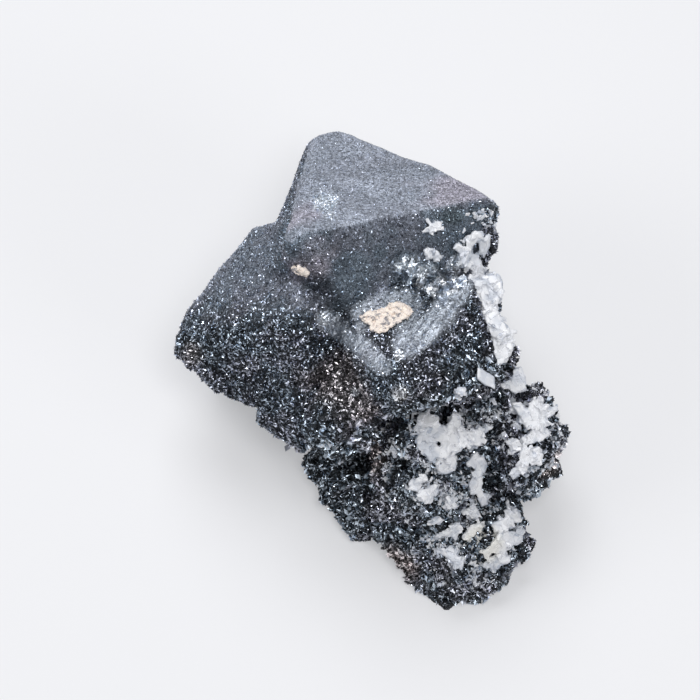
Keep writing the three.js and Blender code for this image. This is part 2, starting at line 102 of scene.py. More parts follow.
camera = bpy.data.objects.new("camera", bpy.data.cameras.new("camera"))
bpy.context.scene.collection.objects.link(camera)
camera.data.lens = LENS
camera.data.sensor_width = SENSOR
camera.data.clip_start = 0.01
camera.data.clip_end = 20
camera.location = to_frame([[0, 0, REACH]])[0]
camera.rotation_euler = (LEAN, 0, 0)
bpy.context.scene.camera = camera
print("camera at", [round(c, 4) for c in camera.location])

# %% [markdown]
# ## Seeded patterns in space
# Rock needs irregularity that comes out the same on each run. A lattice hash gives every whole-numbered
# cell of space its own random number, and blending the corners of a cell gives soft value noise. A
# second pattern drops one point in each cell and finds the nearest, which is how grains pack together.
# The last number that a pattern is given is its seed, and another seed gives another pattern.

# %% Soft noise on arrays of points
def cell_random(cells, seed):
    """A random number from 0 to 1 for each integer cell: multiply by odd numbers, fold the bits over."""
    x, y, z = (cells[..., axis].astype(np.int64) for axis in range(3))
    mixed = (x * 374761393 + y * 668265263 + z * 2147483647 + seed * 1274126177) & 0xFFFFFFFF
    mixed = ((mixed ^ (mixed >> 13)) * 1274126177) & 0xFFFFFFFF
    mixed = ((mixed ^ (mixed >> 15)) * 2246822519) & 0xFFFFFFFF
    return (mixed ^ (mixed >> 16)) / 0xFFFFFFFF


def soft_noise(points, size, seed=0):
    """Value noise from 0 to 1: the eight corner numbers of a cell, blended by smoothed distances."""
    scaled = np.asarray(points) / size
    low = np.floor(scaled)
    part = scaled - low
    part = part * part * (3 - 2 * part)
    total = 0
    for corner in np.ndindex(2, 2, 2):
        weight = np.prod(np.where(corner, part, 1 - part), axis=-1)
        total = total + weight * cell_random(low + corner, seed)
    return total


def layered_noise(points, size, layers=3, seed=0):
    """Soft noise at sizes that halve, each layer half as strong as the last, kept from 0 to 1."""
    strengths = [0.5 ** layer for layer in range(layers)]
    noise = sum(s * soft_noise(points, size * s, seed + i) for i, s in enumerate(strengths))
    return noise / sum(strengths)


print("noise at three places:", np.round(layered_noise(np.eye(3) * 7.3, 2.0), 3))


# %% Packed grains on arrays of points
def nearest_grain(points, size, seed=0):
    """Packed grains: one point in each cell of that size. Gives the way from the nearest, and its cell."""
    scaled = np.asarray(points) / size
    home = np.floor(scaled)
    best = np.full(len(scaled), np.inf)
    away = np.zeros_like(scaled)
    owner = np.zeros_like(scaled)
    for step in np.ndindex(3, 3, 3):
        cell = home + np.array(step) - 1
        spot = cell + np.stack([cell_random(cell, seed + 10 + axis) for axis in range(3)], -1)
        gap = scaled - spot
        far = np.einsum("ij,ij->i", gap, gap)
        nearer = far < best
        best = np.where(nearer, far, best)
        away = np.where(nearer[:, None], gap, away)
        owner = np.where(nearer[:, None], cell, owner)
    return away * size, owner


def grain_tilt(owner, seed=0):
    """A random unit direction for each grain, from its cell's own numbers."""
    height = 2 * cell_random(owner, seed + 21) - 1
    around = 2 * math.pi * cell_random(owner, seed + 22)
    flat = np.sqrt(1 - height ** 2)
    return np.stack([flat * np.cos(around), flat * np.sin(around), height], -1)


def smooth_step(value, low, high):
    """0 below low, 1 above high, and a smooth rise between."""
    part = np.clip((value - low) / (high - low), 0, 1)
    return part * part * (3 - 2 * part)


print("grains of three places:", nearest_grain(np.eye(3) * 7.3, 2.0)[1].tolist())

# %% [markdown]
# ## Where the surface changes
# The upper crystals carry a skin as fine as sandpaper. Below a wavy line the grains grow several times
# larger, and the lowest crystals are broken. The front crystal has pale, finely striated rims, a stack of
# bright sheets lies above it, and a few patches sparkle. Between the crystals the felt is painted darker
# as painted shade, deepest in some hollows, which also sink. Painting these zones by hand would tie them
# to one net, so each is a smooth mask worked out from places and normals, from 0 to 1, that both the
# shape and the colour can read.

# %% Lines, paths and spots that bound the zones
# x across the face and the y above which the skin is fine
FINE_LINE = np.array([
    [-18, 3.0], [-2.4, 3.4], [0, 5.0], [3.7, 6.3], [7.3, 8.4], [11.8, 9.1], [14.6, 10], [15.5, 16.5],
    [20, 17.5],
])
# y along the face and the x where the left crystal ends
LEFT_CRYSTAL = np.array([[3, -1], [7, -3.5], [12.8, -8.6], [25, -5.5]])
# paths of x and y along the face, each with how far its zone reaches to the sides
LEFT_RIM = np.array([[-2.7, 3.5], [0.6, 1.0], [3.4, -1.6]]), 1.5
RIGHT_RIM = np.array([[5.6, -0.3], [8.0, 1.2], [10.6, 3.2], [13.2, 8.0]]), 0.9
STRIATED = np.array([[6.2, 0.6], [8.6, 2.2], [10.4, 4.2], [12.2, 7.2]]), 2.1
CRUST_STEP = np.array([[1.0, 3.6], [3.6, 4.6], [6.6, 5.4], [6.4, 3.0]]), 2.2
VALLEY = np.array([[-3.9, 7.2], [-2.8, 6.2], [-1.6, 5.0], [-1.0, 3.2]]), 2.2
SHEETS = np.array([[6.6, 9.2], [8.4, 8.2], [10.4, 7.4], [12.0, 8.4], [12.8, 9.6]]), 1.9
# x, y and reach of each of the brightest patches, and of the hollows between the lower crystals
SPARKLES = np.array([
    [-2.9, 16.6, 2.0], [-3.1, 3.5, 1.1], [5.4, -0.7, 0.8], [5.5, -4.8, 1.1], [0.5, -4.8, 0.8],
])
HOLLOWS = np.array([
    [0.8, -13.2, 2.4], [16.0, -15.2, 1.7], [10.7, -8.2, 1.3], [18.6, -19.8, 1.6], [6.0, -13.0, 1.2],
])
print("sparkling patches:", len(SPARKLES), "hollows:", len(HOLLOWS))


# %% Work out the masks at any points
def path_distance(xy, path):
    """How far each point lies from a path of straight stretches, the nearest stretch counting."""
    nearest = np.full(len(xy), np.inf)
    for start, end in zip(path[:-1], path[1:]):
        along = end - start
        share = np.clip(((xy - start) @ along) / (along @ along), 0, 1)
        nearest = np.minimum(nearest, np.linalg.norm(xy - start - share[:, None] * along, axis=1))
    return nearest


def zones(points, normals):
    """The masks, from 0 to 1, at points and normals along the specimen's axes in millimetres. Each is a
    smooth step of a distance or a height, which a noise called wander shifts to and fro."""
    xy = points[:, :2]
    wander = 1.6 * (layered_noise(points, 2.4, 3, 5) - 0.5)
    above = points[:, 1] + wander - np.interp(points[:, 0], *FINE_LINE.T)
    facing = smooth_step(normals[:, 2], -0.7, 0.1)
    front = smooth_step(points[:, 2], -11, -8)
    left = 1 - smooth_step(points[:, 0], -3.5, -0.5)
    fine = smooth_step(above, -0.5 - 1.3 * left, 0.7 + 4.6 * left)
    fine = fine * np.maximum(facing, smooth_step(normals[:, 1] + 0.15 * wander, -0.1, 0.6))

    def spotted(spots):
        far = np.linalg.norm(xy[:, None] - spots[:, :2], axis=2) / spots[:, 2] + 0.5 * wander[:, None]
        return facing * (1 - smooth_step(far, 0.45, 1.0)).max(1)

    def near(path, width):
        far = path_distance(xy, path) + 0.5 * wander
        return (1 - smooth_step(far, 0.5 * width, width)) * front * facing

    return {
        "fine": fine,
        "upward": smooth_step(normals[:, 1], 0.3, 0.8),
        "rims": np.maximum(near(*LEFT_RIM), near(*RIGHT_RIM)),
        "striated": near(*STRIATED),
        "step": near(*CRUST_STEP),
        "valley": near(*VALLEY),
        "sheets": near(*SHEETS),
        "sparkle": front * spotted(SPARKLES),
        "hollow": spotted(HOLLOWS),
        "broken": smooth_step(-points[:, 1] + 0.5 * points[:, 0] + wander, 6, 9),
        "left": 1 - smooth_step(points[:, 0] - np.interp(points[:, 1], *LEFT_CRYSTAL.T), -0.6, 0.6),
    }


print("masks:", ", ".join(zones(np.zeros((1, 3)), np.array([[0.0, 0.0, 1.0]]))))

# %% [markdown]
# ## The skin of the hematite
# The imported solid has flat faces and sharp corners, and the real surface was built up by growth and then
# etched. One way to roughen it would be a bump map, but then the outline would stay straight. Here the
# solid is copied, its triangles are merged and turned into an even net of small squares by a voxel
# remesh, and every point of the net is moved along its normal by heights worked out as whole arrays.

# %% Copy a solid and lay an even net over it
NET_SIZE = 0.3
WELD = 1e-6


def merged_copy(node):
    """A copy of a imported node's mesh with its loose triangles joined where they meet."""
    mesh = NODES[node].data.copy()
    shape = bmesh.new()
    shape.from_mesh(mesh)
    bmesh.ops.remove_doubles(shape, verts=shape.verts, dist=WELD)
    shape.to_mesh(mesh)
    shape.free()
    mesh.materials.clear()
    return mesh


def remeshed(meshes, size):
    """The outer surface of the joined meshes as a net of squares of that size in millimetres."""
    shape = bmesh.new()
    for mesh in meshes:
        shape.from_mesh(mesh)
    joined = bpy.data.meshes.new("joined")
    shape.to_mesh(joined)
    shape.free()
    holder = bpy.data.objects.new("holder", joined)
    bpy.context.scene.collection.objects.link(holder)
    net = holder.modifiers.new("net", "REMESH")
    net.mode = "VOXEL"
    net.voxel_size = size * MM
    graph = bpy.context.evaluated_depsgraph_get()
    result = bpy.data.meshes.new_from_object(holder.evaluated_get(graph))
    bpy.data.objects.remove(holder)
    return result


skin = remeshed([merged_copy("hematite_cluster")], NET_SIZE)
print("net:", len(skin.vertices), "points,", len(skin.polygons), "squares")


# %% Read and write a mesh as whole arrays
def read_points(mesh):
    """All the vertices of a mesh as rows of x, y, z."""
    flat = np.empty(3 * len(mesh.vertices))
    mesh.vertices.foreach_get("co", flat)
    return flat.reshape(-1, 3)


def read_normals(mesh):
    """The normals at the vertices."""
    flat = np.empty(3 * len(mesh.vertices))
    mesh.vertex_normals.foreach_get("vector", flat)
    return flat.reshape(-1, 3)


def write_points(mesh, points):
    """Moves the vertices of a mesh to new places."""
    mesh.vertices.foreach_set("co", np.asarray(points, float).ravel())
    mesh.update()


def write_tones(mesh, tones):
    """Stores one colour for each vertex under the name tone, which a material can read."""
    solid = np.column_stack([np.asarray(tones, np.float32), np.ones(len(tones), np.float32)])
    mesh.attributes.new("tone", "FLOAT_COLOR", "POINT").data.foreach_set("color", solid.ravel())


def neighbour_means(mesh, values, rounds):
    """Each vertex's value drawn halfway to the mean of its neighbours, several times over."""
    ends = np.empty(2 * len(mesh.edges), np.int64)
    mesh.edges.foreach_get("vertices", ends)
    one, other = ends.reshape(-1, 2).T
    count = np.bincount(ends, minlength=len(values))[:, None]
    for _ in range(rounds):
        total = np.stack([
            np.bincount(one, column[other], len(values)) + np.bincount(other, column[one], len(values))
            for column in values.T
        ], -1)
        values = 0.5 * values + 0.5 * total / count
    return values


print("lowest and highest points in mm:", in_mm([read_points(skin).min(0), read_points(skin).max(0)]))

# %% Heights of growth above the solid
LUMP_SIZE = 2.4
GRAIN_SIZE = 1.0
TOOTH_SIZE = 0.5
SHEET_SIZE = 1.4
SHEET_SEED = 14
PIT_DEPTH = 0.8
HOLLOW_DEPTH = 1.3
STREAK_LENGTH = 2.6
STREAK_WIDTH = 0.42


def streaks(points):
    """The fine striation, from 0 to 1: soft noise on points that are turned by 50 degrees in the face
    and divided by the length of a streak along it and by its width across it."""
    along = points[:, 0] * 0.64 + points[:, 1] * 0.77
    across = points[:, 1] * 0.64 - points[:, 0] * 0.77
    drawn = [along / STREAK_LENGTH, across / STREAK_WIDTH, points[:, 2] / STREAK_LENGTH]
    return soft_noise(np.stack(drawn, -1), 1, 13)


def growth(points, zone):
    """Height in millimetres above the solid. Coarse ground: broad lumps, plus grains that each lie as a
    plane through their own middle with a random tilt, plus small teeth. Where the lower crystals are
    broken the lumps are twice as high, less the pits where a noise is low. Fine ground: soft waves and
    shallow teeth. The calm rims add streaks, the sheets add larger tilted planes, and the hollows sink."""
    calm = np.maximum.reduce([zone["rims"], zone["striated"], zone["step"]])
    broken = zone["broken"]
    lumps = layered_noise(points, LUMP_SIZE, 3, 1) - 0.5
    away, owner = nearest_grain(points, GRAIN_SIZE, 3)
    planes = np.einsum("ij,ij->i", away, grain_tilt(owner, 3)) * (0.35 + 0.4 * broken)
    raised = (cell_random(owner, 8) - 0.5) * (0.14 + 0.14 * broken)
    away, owner = nearest_grain(points, TOOTH_SIZE, 4)
    teeth = np.einsum("ij,ij->i", away, grain_tilt(owner, 4)) * 0.5 + (cell_random(owner, 9) - 0.5) * 0.12
    pits = PIT_DEPTH * broken * (1 - smooth_step(layered_noise(points, 1.6, 2, 12), 0.32, 0.44))
    rough = (0.55 + 0.5 * broken) * lumps + planes + raised + teeth - pits
    waves = 0.4 * (soft_noise(points, 3.2, 6) - 0.5) + 0.1 * (soft_noise(points, 1.2, 7) - 0.5)
    fine = waves + 0.16 * teeth
    ridges = streaks(points) - 0.5
    away, owner = nearest_grain(points, SHEET_SIZE, SHEET_SEED)
    sheets = np.einsum("ij,ij->i", away, grain_tilt(owner, SHEET_SEED)) * 0.75 * zone["sheets"]
    share = (1 - zone["fine"]) * (1 - 0.8 * calm)
    ground = share * rough + (1 - share) * fine + 0.45 * ridges * calm
    return ground + (sheets - HOLLOW_DEPTH * zone["hollow"])


# %% Settle the net, then move it by the heights
CUT_MARGIN = 0.12      # how near the flat cut a point counts as part of it, in millimetres
LOWEST_GROWTH = 0.02

start = read_points(skin)
on_cut = start[:, 2] < CUT_MARGIN * MM
first = zones(to_specimen(start), turn_to_specimen(read_normals(skin)))
crisp, soft = neighbour_means(skin, start, 2), neighbour_means(skin, start, 7)
settled = crisp + (soft - crisp) * first["fine"][:, None]
points = to_specimen(settled)
normals = turn_to_specimen(read_normals(skin))
zone = zones(points, normals)
height = growth(points, zone) * ~on_cut
moved = to_frame(points + normals * height[:, None])
moved[:, 2] = np.where(on_cut, 0, np.maximum(moved[:, 2], LOWEST_GROWTH * MM))
write_points(skin, moved)
print("heights in mm from", round(height.min(), 2), "to", round(height.max(), 2))

# %% [markdown]
# ## Writing shader maths as sums
# A material is a tree of nodes, and its maths is easier to read as a line of arithmetic. The class
# Number wraps the socket that a number comes out of. Adding, subtracting or multiplying it adds a Math
# node and gives back another Number. The class Bench holds one material's tree and has one method for
# all other nodes: their kind, their settings, then what goes into their sockets.

# %% Numbers that add their own nodes
class Number:
    """A number that comes out of a node's socket, on which arithmetic adds Math nodes."""

    def __init__(self, bench, socket):
        self.bench = bench
        self.socket = socket

    def _maths(self, operation, first, second):
        node = self.bench.node("ShaderNodeMath", {"operation": operation}, {0: first, 1: second})
        return Number(self.bench, node.outputs[0])

    def __add__(self, other):
        return self._maths("ADD", self, other)

    __radd__ = __add__

    def __sub__(self, other):
        return self._maths("SUBTRACT", self, other)

    def __rsub__(self, other):
        return self._maths("SUBTRACT", other, self)

    def __mul__(self, other):
        return self._maths("MULTIPLY", self, other)

    __rmul__ = __mul__

    def between(self, low, high):
        """0 below low, 1 above high and a smooth rise between, as smooth_step does for arrays."""
        settings = {"interpolation_type": "SMOOTHSTEP"}
        sockets = {"Value": self, "From Min": low, "From Max": high}
        node = self.bench.node("ShaderNodeMapRange", settings, sockets)
        return Number(self.bench, node.outputs["Result"])


# %% A bench for the nodes of one material
class Bench:
    """The node tree of one material, emptied, with one way to add a node."""

    def __init__(self, name):
        self.material = bpy.data.materials.new(name)
        self.material.use_nodes = True
        self.tree = self.material.node_tree
        self.tree.nodes.clear()

    def node(self, kind, settings=None, sockets=None):
        """A node of this kind. Settings are set first; sockets are given by name or number."""
        node = self.tree.nodes.new(kind)
        for key, value in (settings or {}).items():
            setattr(node, key, value)
        for key, value in (sockets or {}).items():
            shown = [s for s in node.inputs if s.enabled and s.name == key]
            target = node.inputs[key] if isinstance(key, int) else shown[0]
            source = value.socket if isinstance(value, Number) else value
            if isinstance(source, bpy.types.NodeSocket):
                self.tree.links.new(source, target)
            else:
                target.default_value = source
        return node

    def stored_tone(self):
        """The colour that write_tones stored at each vertex."""
        return self.node("ShaderNodeAttribute", {"attribute_name": "tone"}).outputs["Color"]

    def place(self):
        """The place on the piece in metres, which is also its place in the frame."""
        return self.node("ShaderNodeTexCoord").outputs["Object"]

    def noise(self, size, detail=2.0, rough=0.5):
        """Soft noise whose lumps are about that many millimetres wide."""
        sockets = {"Vector": self.place(), "Scale": 1 / (size * MM), "Detail": detail, "Roughness": rough}
        return Number(self, self.node("ShaderNodeTexNoise", None, sockets).outputs["Fac"])

    def cells(self, size):
        """A flat random number for each packed cell of about that many millimetres."""
        sockets = {"Vector": self.place(), "Scale": 1 / (size * MM)}
        colour = self.node("ShaderNodeTexVoronoi", None, sockets).outputs["Color"]
        return Number(self, self.node("ShaderNodeSeparateColor", None, {"Color": colour}).outputs[0])

    def mix(self, share, first, second):
        """One colour drawn towards another by a share."""
        sockets = {"Factor": share, "A": first, "B": second}
        return self.node("ShaderNodeMix", {"data_type": "RGBA"}, sockets).outputs[2]

    def dimmed(self, colour, number):
        """A colour times a number, done on its three parts alike."""
        sockets = {"Vector": colour, "Scale": number}
        return self.node("ShaderNodeVectorMath", {"operation": "SCALE"}, sockets).outputs["Vector"]

    def bump(self, height, distance):
        """A normal tilted by a height pattern of that many millimetres."""
        sockets = {"Height": height, "Distance": distance * MM, "Strength": 1.0}
        return self.node("ShaderNodeBump", None, sockets).outputs["Normal"]

    def finish(self, sockets):
        """The Principled shader with these sockets, joined to the output. Gives the material back."""
        shader = self.node("ShaderNodeBsdfPrincipled", None, sockets)
        self.node("ShaderNodeOutputMaterial", None, {"Surface": shader.outputs[0]})
        return self.material


# %% [markdown]
# ## The colour of hematite
# Massed hematite is a metal with little colour of its own, here between steel blue and teal. The faces
# that look up are painted paler, a painted light from above, with lilac near their ends, and a shaded
# corner between the upper crystals is painted pale lilac as painted light. One patch below them is dark
# teal. The lower left of the front crystal and some outer corners are stained brown. The striated rims
# are pale blue, the sheets and the sparkling patches silver, and the valley and the hollows are painted
# dark as painted shade. Ramps on shader noise could paint this, but the skin and 150,000 crystals have to
# agree, so one function gives the tones for any array of points, and they are stored at the vertices of
# both.

# %% Tones of the hematite and where they lie
TEAL_STEEL = np.array([0.205, 0.25, 0.305])
BLUE_STEEL = np.array([0.245, 0.268, 0.325])
# the next tone is painted light: faces that look up are drawn towards it as if lit from above
PAINTED_LIGHT_STEEL = np.array([0.6, 0.645, 0.745])
LILAC_STEEL = np.array([0.63, 0.6, 0.69])
PALE_RIM = np.array([0.7, 0.785, 0.9])
SILVER = np.array([0.82, 0.88, 0.95])
BROWN_STAIN = np.array([0.45, 0.435, 0.455])
DARK_TEAL = np.array([0.12, 0.16, 0.18])
# a place along the specimen's axes and how far the tone reaches from it, in millimetres
LILAC_PLACES = {
    "left edge of the tall crystal": [[-6.2, 14, -6], 4.2],
    "right end of the tall crystal": [[12, 18, -10], 5.0],
}
# painted light: a corner between the upper crystals, which they shade, is drawn towards pale lilac
PAINTED_LIGHT_CORNER = [[-4.6, 10.6, -4], 3.4]
TEAL_PATCH = np.array([11.6, 15.2])    # only x and y
STAINS = {
    "front crystal, lower left": [[-0.2, -3.6, -6], 5.6],
    "left corner": [[-18.5, -0.5, -12], 2.6],
    "lower body, left": [[2.5, -12, -14], 3.2],
    "lower body, foot": [[5, -25, -16], 3.5],
    "right lobe, outside": [[22.5, -13.5, -14], 2.8],
    "under the ledge": [[1.5, -8.5, -8], 2.4],
}
print("places with a tone of their own:", 2 + len(LILAC_PLACES) + len(STAINS))


# %% Work out the tones of any points
def toward(tones, tone, share):
    """Each colour drawn towards one tone by its own share."""
    return tones + (tone - tones) * share[:, None]


def hematite_tones(points, zone):
    """The base colour at each point: steel, drawn in turn towards the tone of each zone it is in. The faces
    that look up and one shaded corner get painted light, and the valley and the hollows painted shade.
    """
    patchy = layered_noise(points, 3.1, 3, 31)
    tones = toward(np.tile(BLUE_STEEL, (len(points), 1)), TEAL_STEEL, smooth_step(patchy, 0.35, 0.6))
    upward = zone["upward"] * zone["fine"]
    # painted light: faces that look up, where the skin is fine, are drawn towards a paler tone as if lit
    # from above
    tones = toward(tones, PAINTED_LIGHT_STEEL, upward * (0.75 + 0.5 * (layered_noise(points, 5, 2, 33) - 0.5)))

    def around(place, reach):
        far = np.linalg.norm(points - np.array(place), axis=1) / reach + 0.9 * (patchy - 0.5)
        return 1 - smooth_step(far, 0.4, 1.1)

    # lilac near the ends of those faces, as pale as their painted light
    for place, reach in LILAC_PLACES.values():
        tones = toward(tones, LILAC_STEEL, 0.8 * upward * around(place, reach))
    # painted light on the shaded corner between the upper crystals
    tones = toward(tones, LILAC_STEEL * 0.9, 0.85 * zone["fine"] * around(*PAINTED_LIGHT_CORNER))
    from_patch = np.linalg.norm((points[:, :2] - TEAL_PATCH) * [0.7, 1], axis=1) + 1.6 * (patchy - 0.5)
    tones = toward(tones, DARK_TEAL, 0.7 * zone["fine"] * (1 - smooth_step(from_patch, 0.5, 1.5)))
    for place, reach in STAINS.values():
        tones = toward(tones, BROWN_STAIN, 0.75 * around(place, reach))
    pale = np.maximum.reduce([0.85 * zone["rims"], zone["striated"], 0.6 * zone["step"]])
    striation = 0.35 + 0.3 * layered_noise(points, 1.2, 2, 34) + 0.5 * streaks(points)
    tones = toward(tones, PALE_RIM, pale * striation)
    tones = toward(tones, SILVER, 0.8 * zone["sparkle"])
    sheet = cell_random(nearest_grain(points, SHEET_SIZE, SHEET_SEED)[1], 35)
    tones = toward(tones, SILVER, zone["sheets"] * smooth_step(sheet, 0.2, 0.5))
    tones = tones * (1 + zone["broken"][:, None] * [0.03, 0, -0.04])
    tones = tones * (1 + (1 - zone["fine"])[:, None] * [0.04, 0, -0.03])
    # painted shade: darker in the valley between the upper crystals and in the hollows between the lower
    # ones
    return tones * (1 - 0.3 * zone["valley"] - 0.65 * zone["hollow"])[:, None]


print("tones are drawn from steel", TEAL_STEEL, "to silver", SILVER)

# %% Finish the skin
FELT_GRAIN = 0.22


def felt_finish():
    """Metal whose stored tone is varied grain by grain, a little rougher in some grains than others."""
    bench = Bench("micro_hematite_felt")
    speckle = bench.cells(FELT_GRAIN)
    fine = bench.noise(FELT_GRAIN * 0.6, 1.0)
    return bench.finish({
        "Base Color": bench.dimmed(bench.stored_tone(), 0.55 + 0.9 * speckle),
        "Metallic": 0.85,
        "Roughness": 0.42 + 0.2 * (speckle - 0.5),
        "Normal": bench.bump(fine + speckle * 0.5, FELT_GRAIN * 0.35),
    })


def finished_piece(name, mesh, material):
    """Puts a mesh into the scene as a piece that rides on the specimen's one body."""
    piece = bpy.data.objects.new(name, mesh)
    bpy.context.scene.collection.objects.link(piece)
    mesh.materials.append(material)
    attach(piece, "root")
    return piece


points = to_specimen(read_points(skin))
zone = zones(points, normals)
bright_share = np.maximum.reduce([zone["rims"], zone["striated"], 0.7 * zone["step"], zone["sheets"]])
# painted shade and light: the skin is darkened between the coarse crystals, where they shade it, stays
# paler where it is fine or shows by itself, and is paler still on fine faces that look up, as painted light
painted_shade_and_light = 0.12 + (0.42 + 0.36 * zone["upward"]) * zone["fine"] + 0.7 * bright_share
write_tones(skin, hematite_tones(points, zone) * np.minimum(painted_shade_and_light, 1)[:, None])
hematite_skin = finished_piece("hematite_skin", skin, felt_finish())
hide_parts("hematite_cluster")
print("skin done:", len(skin.polygons), "faces")

# %% [markdown]
# ## The druse of micro-crystals
# What glitters on the real specimen is thousands of crystals of a few tenths of a millimetre. Hair or
# instances would be one way to scatter them, but a joined mesh travels better. Each crystal is the same
# small octahedron, flattened into a plate, turned and set into the skin, or a four-sided wedge where the
# grains are finest. All are worked out at once: an array of places times turns times the form's corners.

# %% The two forms, each as its corners and its faces
OCTAHEDRON = (
    np.array([[1, 0, 0], [0, 1, 0], [-1, 0, 0], [0, -1, 0], [0, 0, 1], [0, 0, -1]], float),
    np.array([[0, 1, 4], [1, 2, 4], [2, 3, 4], [3, 0, 4], [1, 0, 5], [2, 1, 5], [3, 2, 5], [0, 3, 5]]),
)
WEDGE = (
    np.array([[1, 0, -0.6], [-0.7, 0.9, -0.6], [-0.7, -0.9, -0.6], [0, 0, 1]]),
    np.array([[0, 2, 1], [0, 1, 3], [1, 2, 3], [2, 0, 3]]),
)
print("triangles in an octahedron and in a wedge:", len(OCTAHEDRON[1]), len(WEDGE[1]))


# %% Scatter places over a mesh and turn what goes there
def unit(ways):
    """The same directions, each with a length of 1."""
    return ways / np.linalg.norm(ways, axis=1)[:, None]


def scattered(mesh, density, rng):
    """Random places on a mesh. Each triangle gets a Poisson number of them with a mean of its area in
    square millimetres times the density at its corners. Gives the places in metres and their normals."""
    mesh.calc_loop_triangles()
    corners = np.empty(3 * len(mesh.loop_triangles), np.int64)
    mesh.loop_triangles.foreach_get("vertices", corners)
    corners = corners.reshape(-1, 3)
    at, normal = read_points(mesh), read_normals(mesh)
    a, b, c = (at[corners[:, i]] for i in range(3))
    area = np.linalg.norm(np.cross(b - a, c - a), axis=1) / 2 / MM ** 2
    count = rng.poisson(area * density[corners].mean(1))
    chosen = np.repeat(np.arange(len(corners)), count)
    share = rng.dirichlet([1, 1, 1], len(chosen))
    spots = np.einsum("ij,ijk->ik", share, at[corners[chosen]])
    normals = np.einsum("ij,ijk->ik", share, normal[corners[chosen]])
    return spots, unit(normals)


def frames_about(axes, rng):
    """For each direction a right-handed set of three: two across it, spun at random, and itself."""
    helper = np.where(np.abs(axes[:, 2:]) < 0.9, [[0, 0, 1]], [[1, 0, 0]])
    across = unit(np.cross(axes, helper))
    beyond = np.cross(axes, across)
    spin = rng.uniform(0, 2 * math.pi, len(axes))[:, None]
    first = np.cos(spin) * across + np.sin(spin) * beyond
    return np.stack([first, np.cross(axes, first), axes], -1)


upright_frame = frames_about(np.array([[0.0, 0.0, 1.0]]), np.random.default_rng(0))[0]
print("two ways across an upright crystal:", np.round(upright_frame[:, :2].T, 2).tolist())

# %% Join crystals into pieces
MOST_TRIANGLES = 180000
LOWEST_CRYSTAL = 0.03    # millimetres above the floor


def bake_cells(mesh, count, corners_each):
    """A map named as the export expects, with one small square for each crystal."""
    side = math.ceil(math.sqrt(count))
    which = np.repeat(np.arange(count), corners_each)
    low = np.stack([which % side, which // side], -1)
    corner = np.tile([[0.15, 0.15], [0.85, 0.15], [0.15, 0.85]], (len(which) // 3, 1))
    layer = mesh.uv_layers.new(name="OFBake", do_init=False)
    layer.uv.foreach_set("vector", ((low + corner) / side).astype(np.float32).ravel())


def druse(name, spots, frames, stretch, tones, form, material):
    """Meshes of crystals: corner = place + turn x (stretch x form corner) for all at once. They go into
    as many pieces, side by side across the specimen, as keep each one light."""
    form_corners, form_faces = form
    each = len(form_corners)
    parts = math.ceil(len(spots) * len(form_faces) / MOST_TRIANGLES)
    for part, chosen in enumerate(np.array_split(np.argsort(spots[:, 0]), parts)):
        corners = np.einsum("nij,kj,nj->nki", frames[chosen], form_corners, stretch[chosen])
        corners = corners + spots[chosen, None]
        corners[..., 2] = np.maximum(corners[..., 2], LOWEST_CRYSTAL * MM)
        faces = form_faces + each * np.arange(len(chosen))[:, None, None]
        mesh = bpy.data.meshes.new(name)
        mesh.from_pydata(corners.reshape(-1, 3).tolist(), [], faces.reshape(-1, 3).tolist())
        write_tones(mesh, np.repeat(tones[chosen], each, axis=0))
        bake_cells(mesh, len(chosen), 3 * len(form_faces))
        finished_piece(f"{name}_{part + 1}", mesh, material)
    print(name, len(spots), "crystals,", len(spots) * len(form_faces), "triangles in", parts, "pieces")


def crystal_finish(name, rough):
    """The clean faces of small crystals: metal in the crystal's own stored tone."""
    bench = Bench(name)
    return bench.finish({
        "Base Color": bench.stored_tone(),
        "Metallic": 1.0,
        "Roughness": rough,
    })


# %% Where each kind of crystal grows, and how
CRYSTALS_START = 0.15    # millimetres above the flat cut

off_the_cut = (read_points(skin)[:, 2] > CRYSTALS_START * MM).astype(float)
fine_share = zone["fine"]
coarse_share = 1 - fine_share
calm_share = np.maximum.reduce([zone["rims"], zone["striated"], 0.8 * zone["step"]])
seen_share = smooth_step(normals[:, 2], -0.6, 0.1)
gritty = coarse_share * (0.22 + 0.78 * seen_share) * (1 - 0.85 * calm_share) * (1 - 0.85 * zone["sheets"])

glittering = crystal_finish("glittering_plates", 0.17)
satin = crystal_finish("satin_plates", 0.36)
felted = crystal_finish("felted_grains", 0.42)
